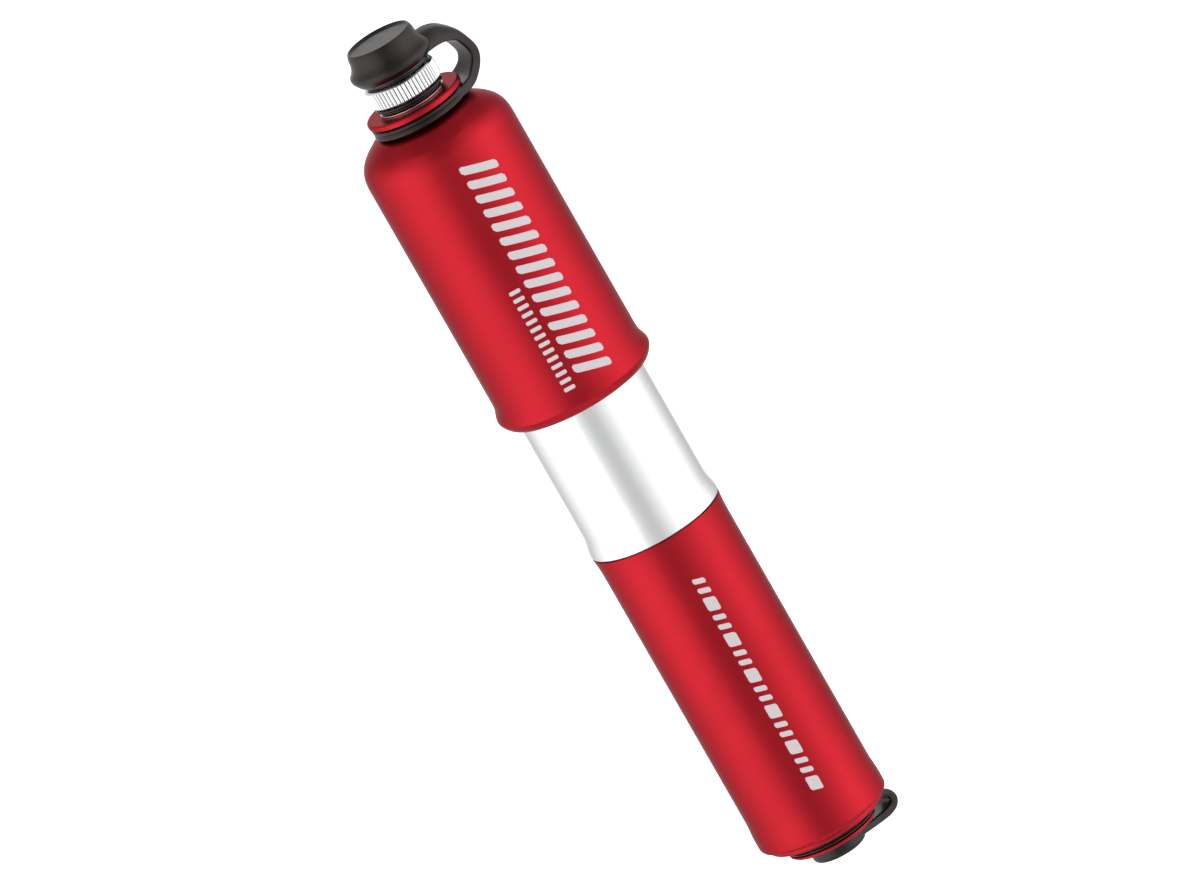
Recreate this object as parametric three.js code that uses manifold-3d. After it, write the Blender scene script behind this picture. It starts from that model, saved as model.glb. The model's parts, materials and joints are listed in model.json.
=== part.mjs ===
// A telescopic hand pump for bicycle tyres, drawn with its handle partly drawn out.
//
// Millimetres. +Z runs up the pump's axis, from the end face of the rubber plug at Z = 0 to the rubber cap.
// The lower tube (barrel, grip sleeve, end cap) stays put. The handle slides on it and drives the piston.
// The flexible hose is stored inside the hollow piston rod: its collar shows above the neck, under the cap.
// Both rubber straps loop out on the +X side.

import * as THREE from "three";
import { mergeVertices } from "three/addons/utils/BufferGeometryUtils.js";
import Module from "manifold-3d";

const wasm = await Module();
wasm.setup();

// ---------------------------------------------------------------------------------------------------------
// Driving dimensions
// ---------------------------------------------------------------------------------------------------------

const GAP = 0.3; // between the faces of two pieces that bear on each other
const EDGE = 0.3; // chamfer on turned edges

const FACETS = {
  tube: 36, // barrel, sleeve and handle
  fitting: 24, // turned fittings, piston and rubber rings
  fine: 16, // hose and valve pieces
};

const PLUG = { faceR: 4.8, discR: 5.6, top: 3.0, stemR: 4.6, stemTop: 5.2 };

const END_CAP = {
  bottom: PLUG.top + GAP,
  flangeR: 9.2,
  flangeTop: 4.0,
  grooveR: 8.0,
  grooveTop: 6.0,
  rimR: 12.2,
  rimTop: 6.9,
  plugR: 11.1,
  top: 17.0,
  sealGrooveR: 9.8,
  sealGrooveBottom: 9.0,
  sealGrooveTop: 11.4,
};

// Hollows of the end cap, from the outlet port up to the pressure chamber.
const PORT = {
  mouthR: 5.65,
  portR: 5.0,
  portTop: 11.5,
  gasketInnerR: 2.0,
  gasketBottom: 10.2,
  passageR: 1.3,
  pocketBottom: 12.3,
  pocketR: 2.7,
  seatStepZ: 15.5,
  seatR: 4.2,
};

const BARREL = {
  bottom: 7.3,
  radius: 13.0,
  boreR: 11.3,
  turnedDownR: 12.3, // under the grip sleeve
  footZ: 74.1,
  footR: 13.65,
  footTop: 78.4,
  footSweep: [
    [13.6, 74.9],
    [13.35, 76.1],
    [13.07, 77.3],
  ],
  glandSeatZ: 112.6,
  glandBoreR: 11.8,
  top: 121.2,
};

const SLEEVE = {
  bottom: 7.1,
  top: BARREL.footZ - GAP,
  innerR: 12.6,
  radius: 13.3,
  heelR: 13.53,
  heelRound: 0.8,
  heelTop: 10.6,
  heelEnd: 12.9,
  flareStart: 69.0,
  flareMiddle: [13.36, 71.5],
  flareR: 13.6,
};

const GLAND = {
  bottom: BARREL.glandSeatZ + GAP,
  bodyR: 11.55,
  lipR: 7.9,
  lipTop: 113.9,
  boreR: 8.7,
  rimR: 12.9,
  top: 122.5,
};

const ROD = { innerR: 6.3, radius: 7.4, bottom: 59.3, top: 159.0 };

const PISTON = {
  bottom: 47.6,
  top: ROD.bottom - GAP,
  radius: 10.9,
  sealGrooveR: 9.3,
  sealGrooveBottom: 49.6,
  sealGrooveTop: 52.4,
  wearGrooveR: 10.0,
  wearGrooveBottom: 54.5,
  wearGrooveTop: 57.5,
  spigotR: 6.0,
  spigotTop: 65.0,
};

const HANDLE = {
  radius: 15.45,
  wall: 1.0,
  rim: 104.0,
  rimRound: [
    [14.8, 104.0],
    [15.4, 104.5],
    [15.9, 105.2],
    [16.2, 105.8],
  ],
  flareR: 16.25,
  flareZ: 106.3,
  flareFade: [
    [16.1, 106.9],
    [15.55, 108.4],
  ],
  flareEnd: 109.6,
  shoulderZ: 158.2,
  shoulderRound: 6.0,
  coneNormal: 55, // degrees above the horizontal
  topFlatR: 9.9,
  top: 165.2,
  neckHoleR: 7.2,
};

const ROD_HEAD = {
  bottom: 155.5,
  top: 163.9,
  radius: 11.5,
  chamferR: 9.4,
  chamferZ: 162.3,
  rodBoreR: 7.65,
  rodBoreTop: ROD.top + GAP,
  neckBoreR: 7.15,
  washerR: 11.0,
  washerBottom: 153.3,
};

const NECK = {
  bottom: 159.8,
  stubR: 6.9,
  boreR: 5.2,
  grooveR: 8.0,
  grooveTop: 167.95,
  flangeR: 9.8,
  top: 169.05,
};

const RING = { innerR: 8.25, radius: 9.6, waistR: 9.3 };

// The rubber washer between the collar and the neck: a narrow bead below a wider one.
const HOSE_SEAL = { innerR: 5.35, lowerR: 6.3, lowerBeadR: 6.55, waistR: 6.4, upperR: 6.9, upperBeadR: 7.1 };

const COLLAR = {
  bottom: 171.0,
  top: 174.8,
  bottomChamfer: 0.25,
  topChamfer: 0.4,
  knurlR: 7.25,
  knurlDepth: 0.28,
  knurls: 56,
  noseR: 5.2,
  noseTop: 177.6,
  socketR: 3.9,
  socketZ: 172.3,
  threadR: 5.0,
  threadBottom: 163.0,
};

const HOSE = {
  radius: 3.9,
  innerR: 1.7,
  bottom: 80.0,
  top: COLLAR.threadBottom - 2 * GAP,
  ferruleR: 4.8,
  ferruleInnerR: 4.2,
  ferruleLength: 11.5,
  barbR: 1.4,
  barbTipR: 1.2,
  barbTaper: 1.0,
  passageR: 0.7,
  barbLength: 10.5,
};

const HOSE_END = { bottom: 66.0, threadR: 4.6, threadTop: 73.0, bodyR: 4.8 };

const CAP = {
  bottom: COLLAR.top + GAP,
  skirtR: 6.6,
  skirtTop: 175.5,
  lipR: 6.9,
  coneR: 7.5,
  coneZ: 176.0,
  beltR: 8.35,
  beltBottom: 177.3,
  beltTop: 178.1,
  waist: [
    [7.4, 179.1],
    [6.95, 180.4],
    [6.85, 181.7],
  ],
  topR: 6.5,
  dishR: 5.9,
  dishZ: 182.1,
  top: 182.5,
  cavityR: 5.5,
  cavityTop: 180.9,
};

// Centre lines of the rubber straps, as [X, Z], from the ring to the cap or plug.
const CAP_STRAP = {
  width: 5.6,
  thickness: 1.9,
  steps: 22,
  path: [
    [9.95, 166.4],
    [11.7, 166.3],
    [13.6, 167.3],
    [14.9, 169.9],
    [14.8, 172.6],
    [13.6, 174.9],
    [11.9, 176.5],
    [10.2, 177.3],
    [8.7, 177.6],
  ],
};

const PLUG_STRAP = {
  width: 5.0,
  thickness: 1.6,
  steps: 18,
  path: [
    [9.95, 4.9],
    [11.7, 4.75],
    [12.95, 3.9],
    [13.2, 2.7],
    [12.5, 1.6],
    [11.0, 1.1],
    [8.5, 1.0],
    [5.95, 1.25],
  ],
};

const VALVE_SPRING = { coilR: 1.75, wireR: 0.25, turns: 2.5, stepsPerTurn: 10, wireSides: 6 };

// ---------------------------------------------------------------------------------------------------------
// Materials
// ---------------------------------------------------------------------------------------------------------

const FINISHES = {
  redAnodised: { color: 0xb5121f, roughness: 0.32, metalness: 0.85 },
  polishedAluminium: { color: 0xe4e6e8, roughness: 0.2, metalness: 1.0 },
  machinedAluminium: { color: 0xc4c7ca, roughness: 0.38, metalness: 1.0 },
  blackRubber: { color: 0x1c1a19, roughness: 0.62, metalness: 0.0 },
  softRubber: { color: 0x2b2826, roughness: 0.75, metalness: 0.0 },
  whiteNylon: { color: 0xe6e2d6, roughness: 0.5, metalness: 0.0 },
  brass: { color: 0xb7924a, roughness: 0.35, metalness: 1.0 },
  springSteel: { color: 0x9fa2a5, roughness: 0.3, metalness: 1.0 },
};

// ---------------------------------------------------------------------------------------------------------
// Shape helpers
// ---------------------------------------------------------------------------------------------------------

// A closed geometry as a solid: shared corners are merged, and the empty triangles at a pole are dropped.
function solidFrom(geometry) {
  const bare = new THREE.BufferGeometry();
  bare.setAttribute("position", geometry.getAttribute("position"));
  bare.setIndex(geometry.index);
  const merged = mergeVertices(bare, 1e-4);
  const corners = merged.index.array;
  const kept = [];
  for (let i = 0; i < corners.length; i += 3) {
    const [a, b, c] = corners.slice(i, i + 3);
    if (a !== b && b !== c && c !== a) kept.push(a, b, c);
  }
  return new wasm.Manifold(
    new wasm.Mesh({
      numProp: 3,
      vertProperties: new Float32Array(merged.getAttribute("position").array),
      triVerts: new Uint32Array(kept),
    }),
  );
}

function geometryFrom(solid) {
  const mesh = solid.getMesh();
  const geometry = new THREE.BufferGeometry();
  geometry.setAttribute("position", new THREE.BufferAttribute(mesh.vertProperties, 3));
  geometry.setIndex(new THREE.BufferAttribute(mesh.triVerts, 1));
  return geometry;
}

// Points of a round stretch of an outline, at the given angles in degrees from the +R direction.
function arc(centreR, centreZ, radius, from, to, steps) {
  return Array.from({ length: steps + 1 }, (_, i) => {
    const angle = THREE.MathUtils.degToRad(from + ((to - from) * i) / steps);
    return [centreR + radius * Math.cos(angle), centreZ + radius * Math.sin(angle)];
  });
}

// The solid swept by an [R, Z] outline about the Z axis. The outline runs anticlockwise, and it either
// starts and ends on the axis or is closed here by repeating its first point.
function turned(outline, facets) {
  const onAxis = outline[0][0] === 0;
  const points = onAxis ? outline : [...outline, outline[0]];
  const lathe = new THREE.LatheGeometry(
    points.map(([r, z]) => new THREE.Vector2(r, z)),
    facets,
  );
  lathe.rotateX(Math.PI / 2);
  return solidFrom(lathe);
}

// A plain ring with chamfered outer corners.
function ring(innerR, outerR, bottom, top, facets, chamfer = 0) {
  const corners = chamfer
    ? [
        [outerR - chamfer, bottom],
        [outerR, bottom + chamfer],
        [outerR, top - chamfer],
        [outerR - chamfer, top],
      ]
    : [
        [outerR, bottom],
        [outerR, top],
      ];
  return turned([[innerR, bottom], ...corners, [innerR, top]], facets);
}

// A flat rubber band that follows a centre line in the XZ plane, with its width along Y.
function band({ path, width, thickness, steps }) {
  const line = new THREE.SplineCurve(path.map(([x, z]) => new THREE.Vector2(x, z)));
  const left = [];
  const right = [];
  for (let i = 0; i <= steps; i++) {
    const point = line.getPointAt(i / steps);
    const tangent = line.getTangentAt(i / steps);
    const normal = new THREE.Vector2(-tangent.y, tangent.x).multiplyScalar(thickness / 2);
    left.push(point.clone().add(normal));
    right.push(point.clone().sub(normal));
  }
  const outline = new THREE.Shape([...right, ...left.reverse()]);
  const geometry = new THREE.ExtrudeGeometry(outline, { depth: width, bevelEnabled: false });
  geometry.rotateX(Math.PI / 2);
  geometry.translate(0, width / 2, 0);
  return solidFrom(geometry);
}

class Helix extends THREE.Curve {
  constructor(radius, bottom, top, turns) {
    super();
    Object.assign(this, { radius, bottom, top, turns });
  }

  getPoint(t, target = new THREE.Vector3()) {
    const angle = 2 * Math.PI * this.turns * t;
    const height = this.bottom + (this.top - this.bottom) * t;
    return target.set(this.radius * Math.cos(angle), this.radius * Math.sin(angle), height);
  }
}

const pump = new THREE.Group();
pump.name = "mini_pump";

function addPiece(name, solid, finish) {
  const mesh = new THREE.Mesh(geometryFrom(solid), new THREE.MeshStandardMaterial(finish));
  mesh.name = name;
  pump.add(mesh);
}

// ---------------------------------------------------------------------------------------------------------
// Lower rubber plug and its ring
// ---------------------------------------------------------------------------------------------------------

function portPlug() {
  const round = PLUG.discR - PLUG.faceR;
  return turned(
    [
      [0, 0],
      ...arc(PLUG.faceR, round, round, -90, 0, 3),
      [PLUG.discR, PLUG.top - EDGE],
      [PLUG.discR - EDGE, PLUG.top],
      [PLUG.stemR, PLUG.top],
      [PLUG.stemR, PLUG.stemTop - EDGE],
      [PLUG.stemR - EDGE, PLUG.stemTop],
      [0, PLUG.stemTop],
    ],
    FACETS.fitting,
  );
}

// A rubber ring whose outside is two beads with a waist between them.
function beadedRing(bottom, top) {
  const middle = (bottom + top) / 2;
  return turned(
    [
      [RING.innerR, bottom],
      [RING.radius - EDGE, bottom],
      [RING.radius, bottom + EDGE],
      [RING.radius, middle - EDGE],
      [RING.waistR, middle],
      [RING.radius, middle + EDGE],
      [RING.radius, top - EDGE],
      [RING.radius - EDGE, top],
      [RING.innerR, top],
    ],
    FACETS.fitting,
  );
}

addPiece("port_plug", portPlug(), FINISHES.blackRubber);
addPiece("plug_strap", band(PLUG_STRAP), FINISHES.blackRubber);
addPiece(
  "plug_ring",
  beadedRing(END_CAP.flangeTop + GAP, END_CAP.grooveTop - GAP),
  FINISHES.blackRubber,
);

// ---------------------------------------------------------------------------------------------------------
// Barrel: tube, sleeve and end cap
// ---------------------------------------------------------------------------------------------------------

function endCap() {
  const { bottom, flangeR, flangeTop, grooveR, grooveTop, rimR, rimTop, plugR, top } = END_CAP;
  return turned(
    [
      [PORT.portR, bottom + PORT.mouthR - PORT.portR],
      [PORT.mouthR, bottom],
      [flangeR - EDGE, bottom],
      [flangeR, bottom + EDGE],
      [flangeR, flangeTop],
      [grooveR, flangeTop],
      [grooveR, grooveTop],
      [rimR - EDGE, grooveTop],
      [rimR, grooveTop + EDGE],
      [rimR, rimTop],
      [plugR, rimTop],
      [plugR, END_CAP.sealGrooveBottom],
      [END_CAP.sealGrooveR, END_CAP.sealGrooveBottom],
      [END_CAP.sealGrooveR, END_CAP.sealGrooveTop],
      [plugR, END_CAP.sealGrooveTop],
      [plugR, top - EDGE],
      [plugR - EDGE, top],
      [PORT.seatR, top],
      [PORT.seatR, PORT.seatStepZ],
      [PORT.pocketR, PORT.seatStepZ],
      [PORT.pocketR, PORT.pocketBottom],
      [PORT.passageR, PORT.pocketBottom],
      [PORT.passageR, PORT.portTop],
      [PORT.portR, PORT.portTop],
    ],
    FACETS.fitting,
  );
}

function barrelTube() {
  return turned(
    [
      [BARREL.boreR, BARREL.bottom],
      [BARREL.turnedDownR, BARREL.bottom],
      [BARREL.turnedDownR, BARREL.footZ],
      [BARREL.footR, BARREL.footZ],
      ...BARREL.footSweep,
      [BARREL.radius, BARREL.footTop],
      [BARREL.radius, BARREL.top - EDGE],
      [BARREL.radius - EDGE, BARREL.top],
      [BARREL.glandBoreR, BARREL.top],
      [BARREL.glandBoreR, BARREL.glandSeatZ],
      [BARREL.boreR, BARREL.glandSeatZ],
    ],
    FACETS.tube,
  );
}

function gripSleeve() {
  const { heelR, heelRound, bottom } = SLEEVE;
  return turned(
    [
      [SLEEVE.innerR, bottom],
      ...arc(heelR - heelRound, bottom + heelRound, heelRound, -80, 0, 3),
      [heelR, SLEEVE.heelTop],
      [SLEEVE.radius, SLEEVE.heelEnd],
      [SLEEVE.radius, SLEEVE.flareStart],
      SLEEVE.flareMiddle,
      [SLEEVE.flareR, SLEEVE.top],
      [SLEEVE.innerR, SLEEVE.top],
    ],
    FACETS.tube,
  );
}

// An O-ring of round section, given by the radius of its centre circle.
function endCapOring() {
  const wire = 0.55;
  const centreR = BARREL.boreR - 0.15 - wire;
  const centreZ = (END_CAP.sealGrooveBottom + END_CAP.sealGrooveTop) / 2;
  return turned(arc(centreR, centreZ, wire, 0, 315, 7), FACETS.fitting);
}

addPiece("end_cap", endCap(), FINISHES.redAnodised);
addPiece("end_cap_oring", endCapOring(), FINISHES.softRubber);
addPiece("barrel_tube", barrelTube(), FINISHES.polishedAluminium);
addPiece("grip_sleeve", gripSleeve(), FINISHES.redAnodised);

// ---------------------------------------------------------------------------------------------------------
// Rod gland in the barrel's top
// ---------------------------------------------------------------------------------------------------------

function rodGland() {
  const rimBottom = BARREL.top + GAP;
  return turned(
    [
      [GLAND.lipR, GLAND.bottom],
      [GLAND.bodyR - EDGE, GLAND.bottom],
      [GLAND.bodyR, GLAND.bottom + EDGE],
      [GLAND.bodyR, rimBottom],
      [GLAND.rimR, rimBottom],
      [GLAND.rimR, GLAND.top - EDGE],
      [GLAND.rimR - EDGE, GLAND.top],
      [GLAND.boreR, GLAND.top],
      [GLAND.boreR, GLAND.lipTop],
      [GLAND.lipR, GLAND.lipTop],
    ],
    FACETS.fitting,
  );
}

const BUSHING = { innerR: 7.6, radius: 8.4, bottom: GLAND.lipTop + GAP, top: 120.2 };

function rodWiper() {
  const bottom = BUSHING.top + GAP;
  const top = GLAND.top - 0.2;
  const lip = 0.6;
  return turned(
    [
      [BUSHING.innerR + 0.15, bottom],
      [BUSHING.radius, bottom],
      [BUSHING.radius, top - lip],
      [BUSHING.innerR + 0.3, top],
      [BUSHING.innerR, top],
      [BUSHING.innerR, top - lip],
    ],
    FACETS.fitting,
  );
}

addPiece("rod_gland", rodGland(), FINISHES.machinedAluminium);
addPiece(
  "rod_bushing",
  ring(BUSHING.innerR, BUSHING.radius, BUSHING.bottom, BUSHING.top, FACETS.fitting),
  FINISHES.whiteNylon,
);
addPiece("rod_wiper", rodWiper(), FINISHES.softRubber);

// ---------------------------------------------------------------------------------------------------------
// Outlet valve in the end cap
// ---------------------------------------------------------------------------------------------------------

const POPPET = { radius: 2.3, bottom: 14.7, stemR: 0.9, stemBottom: 13.0 };

function valvePoppet() {
  return turned(
    [
      [0, POPPET.stemBottom],
      [POPPET.stemR, POPPET.stemBottom],
      [POPPET.stemR, POPPET.bottom],
      [POPPET.radius, POPPET.bottom],
      [POPPET.radius, PORT.seatStepZ],
      [0, PORT.seatStepZ],
    ],
    FACETS.fine,
  );
}

function valveSpring() {
  const { coilR, wireR, turns, stepsPerTurn, wireSides } = VALVE_SPRING;
  const bottom = PORT.pocketBottom + GAP + wireR;
  const top = POPPET.bottom - GAP - wireR;
  const section = new THREE.Shape();
  section.absarc(0, 0, wireR, 0, 2 * Math.PI);
  const wire = new THREE.ExtrudeGeometry(section, {
    steps: turns * stepsPerTurn,
    curveSegments: wireSides,
    extrudePath: new Helix(coilR, bottom, top, turns),
  });
  return solidFrom(wire);
}

addPiece(
  "port_gasket",
  ring(
    PORT.gasketInnerR,
    PORT.portR - GAP,
    PORT.gasketBottom,
    PORT.portTop - GAP,
    FACETS.fine,
  ),
  FINISHES.softRubber,
);
addPiece(
  "valve_seat",
  ring(PORT.passageR, PORT.seatR - GAP, PORT.seatStepZ + GAP, END_CAP.top, FACETS.fine),
  FINISHES.brass,
);
addPiece("valve_poppet", valvePoppet(), FINISHES.brass);
addPiece("valve_spring", valveSpring(), FINISHES.springSteel);

// ---------------------------------------------------------------------------------------------------------
// Handle: shell, neck and rod head
// ---------------------------------------------------------------------------------------------------------

function handleShell() {
  const { radius, wall, rim, flareR, flareZ, flareEnd, shoulderZ, shoulderRound } = HANDLE;
  const innerR = radius - wall;
  const shoulderR = radius - shoulderRound;
  const slope = Math.tan(THREE.MathUtils.degToRad(90 - HANDLE.coneNormal));
  const outerShoulder = arc(shoulderR, shoulderZ, shoulderRound, 0, HANDLE.coneNormal, 4);
  const innerShoulder = arc(shoulderR, shoulderZ, shoulderRound - wall, HANDLE.coneNormal, 0, 3);
  const [coneR, coneZ] = innerShoulder[0];
  const roofZ = HANDLE.top - wall;
  return turned(
    [
      [innerR, rim + EDGE],
      [innerR + EDGE / 2, rim],
      ...HANDLE.rimRound,
      [flareR, flareZ],
      ...HANDLE.flareFade,
      [radius, flareEnd],
      ...outerShoulder,
      [HANDLE.topFlatR, HANDLE.top],
      [HANDLE.neckHoleR, HANDLE.top],
      [HANDLE.neckHoleR, roofZ],
      [coneR - (roofZ - coneZ) / slope, roofZ],
      ...innerShoulder,
    ],
    FACETS.tube,
  );
}

function neckFitting() {
  const grooveBottom = HANDLE.top + GAP;
  return turned(
    [
      [NECK.boreR, NECK.bottom],
      [NECK.stubR, NECK.bottom],
      [NECK.stubR, grooveBottom],
      [NECK.grooveR, grooveBottom],
      [NECK.grooveR, NECK.grooveTop],
      [NECK.flangeR, NECK.grooveTop],
      [NECK.flangeR, NECK.top - EDGE],
      [NECK.flangeR - EDGE, NECK.top],
      [NECK.boreR + EDGE, NECK.top],
      [NECK.boreR, NECK.top - EDGE],
    ],
    FACETS.fitting,
  );
}

function rodHead() {
  return turned(
    [
      [ROD_HEAD.rodBoreR, ROD_HEAD.bottom],
      [ROD_HEAD.radius - EDGE, ROD_HEAD.bottom],
      [ROD_HEAD.radius, ROD_HEAD.bottom + EDGE],
      [ROD_HEAD.radius, ROD_HEAD.chamferZ],
      [ROD_HEAD.chamferR, ROD_HEAD.top],
      [ROD_HEAD.neckBoreR, ROD_HEAD.top],
      [ROD_HEAD.neckBoreR, ROD_HEAD.rodBoreTop],
      [ROD_HEAD.rodBoreR, ROD_HEAD.rodBoreTop],
    ],
    FACETS.fitting,
  );
}

addPiece("handle_shell", handleShell(), FINISHES.redAnodised);
addPiece("neck_fitting", neckFitting(), FINISHES.redAnodised);
addPiece("rod_head", rodHead(), FINISHES.machinedAluminium);
addPiece(
  "bump_washer",
  ring(
    ROD.radius + 0.2,
    ROD_HEAD.washerR,
    ROD_HEAD.washerBottom,
    ROD_HEAD.bottom - GAP,
    FACETS.fitting,
    EDGE,
  ),
  FINISHES.softRubber,
);

// ---------------------------------------------------------------------------------------------------------
// Piston rod and piston
// ---------------------------------------------------------------------------------------------------------

function pistonHead() {
  return turned(
    [
      [0, PISTON.bottom],
      [PISTON.radius - EDGE, PISTON.bottom],
      [PISTON.radius, PISTON.bottom + EDGE],
      [PISTON.radius, PISTON.sealGrooveBottom],
      [PISTON.sealGrooveR, PISTON.sealGrooveBottom],
      [PISTON.sealGrooveR, PISTON.sealGrooveTop],
      [PISTON.radius, PISTON.sealGrooveTop],
      [PISTON.radius, PISTON.wearGrooveBottom],
      [PISTON.wearGrooveR, PISTON.wearGrooveBottom],
      [PISTON.wearGrooveR, PISTON.wearGrooveTop],
      [PISTON.radius, PISTON.wearGrooveTop],
      [PISTON.radius, PISTON.top],
      [PISTON.spigotR, PISTON.top],
      [PISTON.spigotR, PISTON.spigotTop - EDGE],
      [PISTON.spigotR - EDGE, PISTON.spigotTop],
      [0, PISTON.spigotTop],
    ],
    FACETS.fitting,
  );
}

// A cup seal: its lip leans out towards the pressure side, below.
function pistonSeal() {
  const innerR = PISTON.sealGrooveR + 0.2;
  const lipR = BARREL.boreR - 0.15;
  const bottom = PISTON.sealGrooveBottom + GAP;
  const top = PISTON.sealGrooveTop - GAP;
  return turned(
    [
      [innerR, bottom],
      [innerR + 0.4, bottom],
      [innerR + 0.8, bottom + 0.9],
      [lipR - 0.35, bottom],
      [lipR, bottom],
      [lipR - 0.25, top],
      [innerR, top],
    ],
    FACETS.fitting,
  );
}

addPiece(
  "piston_rod",
  ring(ROD.innerR, ROD.radius, ROD.bottom, ROD.top, FACETS.fitting),
  FINISHES.machinedAluminium,
);
addPiece("piston_head", pistonHead(), FINISHES.machinedAluminium);
addPiece("piston_seal", pistonSeal(), FINISHES.softRubber);
addPiece(
  "wear_ring",
  ring(
    PISTON.wearGrooveR + 0.2,
    BARREL.boreR - 0.2,
    PISTON.wearGrooveBottom + GAP,
    PISTON.wearGrooveTop - GAP,
    FACETS.fitting,
  ),
  FINISHES.whiteNylon,
);

// ---------------------------------------------------------------------------------------------------------
// Hose, stored in the rod
// ---------------------------------------------------------------------------------------------------------

// The knurled grip: a ring whose every second column of outer corners is drawn in.
function knurledGrip() {
  const { bottom, top, bottomChamfer, topChamfer, knurlR, knurlDepth, knurls } = COLLAR;
  const innerR = (COLLAR.threadR + COLLAR.socketR) / 2;
  const outline = [
    [innerR, bottom],
    [knurlR - bottomChamfer, bottom],
    [knurlR, bottom + bottomChamfer],
    [knurlR, top - topChamfer],
    [knurlR - topChamfer, top],
    [innerR, top],
  ];
  const points = [...outline, outline[0]].map(([r, z]) => new THREE.Vector2(r, z));
  const lathe = new THREE.LatheGeometry(points, 2 * knurls);
  const position = lathe.getAttribute("position");
  for (let i = 0; i < position.count; i++) {
    const column = Math.floor(i / points.length) % (2 * knurls);
    const radius = points[i % points.length].x;
    if (column % 2 && radius === knurlR) {
      const scale = (knurlR - knurlDepth) / knurlR;
      position.setX(i, position.getX(i) * scale);
      position.setZ(i, position.getZ(i) * scale);
    }
  }
  lathe.rotateX(Math.PI / 2);
  return solidFrom(lathe);
}

function hoseCollar() {
  const barbBottom = COLLAR.threadBottom - HOSE.barbLength;
  const core = turned(
    [
      [HOSE.passageR, barbBottom],
      [HOSE.barbTipR, barbBottom],
      [HOSE.barbR, barbBottom + HOSE.barbTaper],
      [HOSE.barbR, COLLAR.threadBottom],
      [COLLAR.threadR - EDGE, COLLAR.threadBottom],
      [COLLAR.threadR, COLLAR.threadBottom + EDGE],
      [COLLAR.threadR, COLLAR.top - EDGE],
      [COLLAR.noseR, COLLAR.top],
      [COLLAR.noseR, COLLAR.noseTop - EDGE],
      [COLLAR.noseR - EDGE, COLLAR.noseTop],
      [COLLAR.socketR, COLLAR.noseTop],
      [COLLAR.socketR, COLLAR.socketZ],
      [HOSE.passageR, COLLAR.socketZ],
    ],
    FACETS.fine,
  );
  return core.add(knurledGrip());
}

function hoseEnd() {
  const bodyTop = HOSE.bottom - GAP;
  const barbTop = bodyTop + HOSE.barbLength;
  return turned(
    [
      [HOSE.passageR, HOSE_END.bottom],
      [HOSE_END.threadR - EDGE, HOSE_END.bottom],
      [HOSE_END.threadR, HOSE_END.bottom + EDGE],
      [HOSE_END.threadR, HOSE_END.threadTop],
      [HOSE_END.bodyR, HOSE_END.threadTop],
      [HOSE_END.bodyR, bodyTop],
      [HOSE.barbR, bodyTop],
      [HOSE.barbR, barbTop - HOSE.barbTaper],
      [HOSE.barbTipR, barbTop],
      [HOSE.passageR, barbTop],
    ],
    FACETS.fine,
  );
}

function hoseSeal() {
  const bottom = NECK.top + GAP;
  const top = COLLAR.bottom - GAP;
  const middle = (bottom + top) / 2;
  return turned(
    [
      [HOSE_SEAL.innerR, bottom],
      [HOSE_SEAL.lowerR, bottom],
      [HOSE_SEAL.lowerBeadR, middle - EDGE],
      [HOSE_SEAL.waistR, middle],
      [HOSE_SEAL.upperR, middle],
      [HOSE_SEAL.upperBeadR, middle + EDGE],
      [HOSE_SEAL.upperR, top],
      [HOSE_SEAL.innerR, top],
    ],
    FACETS.fitting,
  );
}

function ferrule(bottom) {
  return ring(
    HOSE.ferruleInnerR,
    HOSE.ferruleR,
    bottom,
    bottom + HOSE.ferruleLength,
    FACETS.fine,
    0.2,
  );
}

addPiece("hose_seal", hoseSeal(), FINISHES.blackRubber);
addPiece("hose_collar", hoseCollar(), FINISHES.polishedAluminium);
addPiece(
  "chuck_gasket",
  ring(2.3, COLLAR.socketR - GAP, COLLAR.socketZ + GAP, COLLAR.socketZ + 2.1, FACETS.fine),
  FINISHES.softRubber,
);
addPiece(
  "upper_ferrule",
  ferrule(COLLAR.threadBottom - GAP - HOSE.ferruleLength),
  FINISHES.machinedAluminium,
);
addPiece(
  "hose_tube",
  ring(HOSE.innerR, HOSE.radius, HOSE.bottom, HOSE.top, FACETS.fine),
  FINISHES.blackRubber,
);
addPiece("lower_ferrule", ferrule(HOSE.bottom), FINISHES.machinedAluminium);
addPiece("hose_end", hoseEnd(), FINISHES.machinedAluminium);

// ---------------------------------------------------------------------------------------------------------
// Rubber cap, its strap and its ring
// ---------------------------------------------------------------------------------------------------------

function topCap() {
  return turned(
    [
      [0, CAP.cavityTop],
      [CAP.cavityR - EDGE, CAP.cavityTop],
      [CAP.cavityR, CAP.cavityTop - EDGE],
      [CAP.cavityR, CAP.bottom],
      [CAP.skirtR, CAP.bottom],
      [CAP.skirtR, CAP.skirtTop],
      [CAP.lipR, CAP.skirtTop],
      [CAP.coneR, CAP.coneZ],
      [CAP.beltR, CAP.beltBottom],
      [CAP.beltR, CAP.beltTop],
      ...CAP.waist,
      [CAP.topR, CAP.top],
      [CAP.dishR + EDGE, CAP.top],
      [CAP.dishR, CAP.dishZ],
      [0, CAP.dishZ],
    ],
    FACETS.fitting,
  );
}

addPiece("cap_ring", beadedRing(HANDLE.top + GAP, NECK.grooveTop - GAP), FINISHES.blackRubber);
addPiece("cap_strap", band(CAP_STRAP), FINISHES.blackRubber);
addPiece("top_cap", topCap(), FINISHES.blackRubber);

export default pump;
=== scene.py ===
"""Looks for the mini pump: fine surfaces, materials, printed marks, studio and camera.

Every turned CAD node is swept again at high resolution from its own outline, with its edges rounded.
The knurling, the threads, the rubber straps, the valve's spring and the printed marks are made here.
Outlines and lengths are in millimetres. Blender objects are in metres.
"""

import json
import math

import bmesh
import bpy
from mathutils import Matrix, Vector


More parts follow.
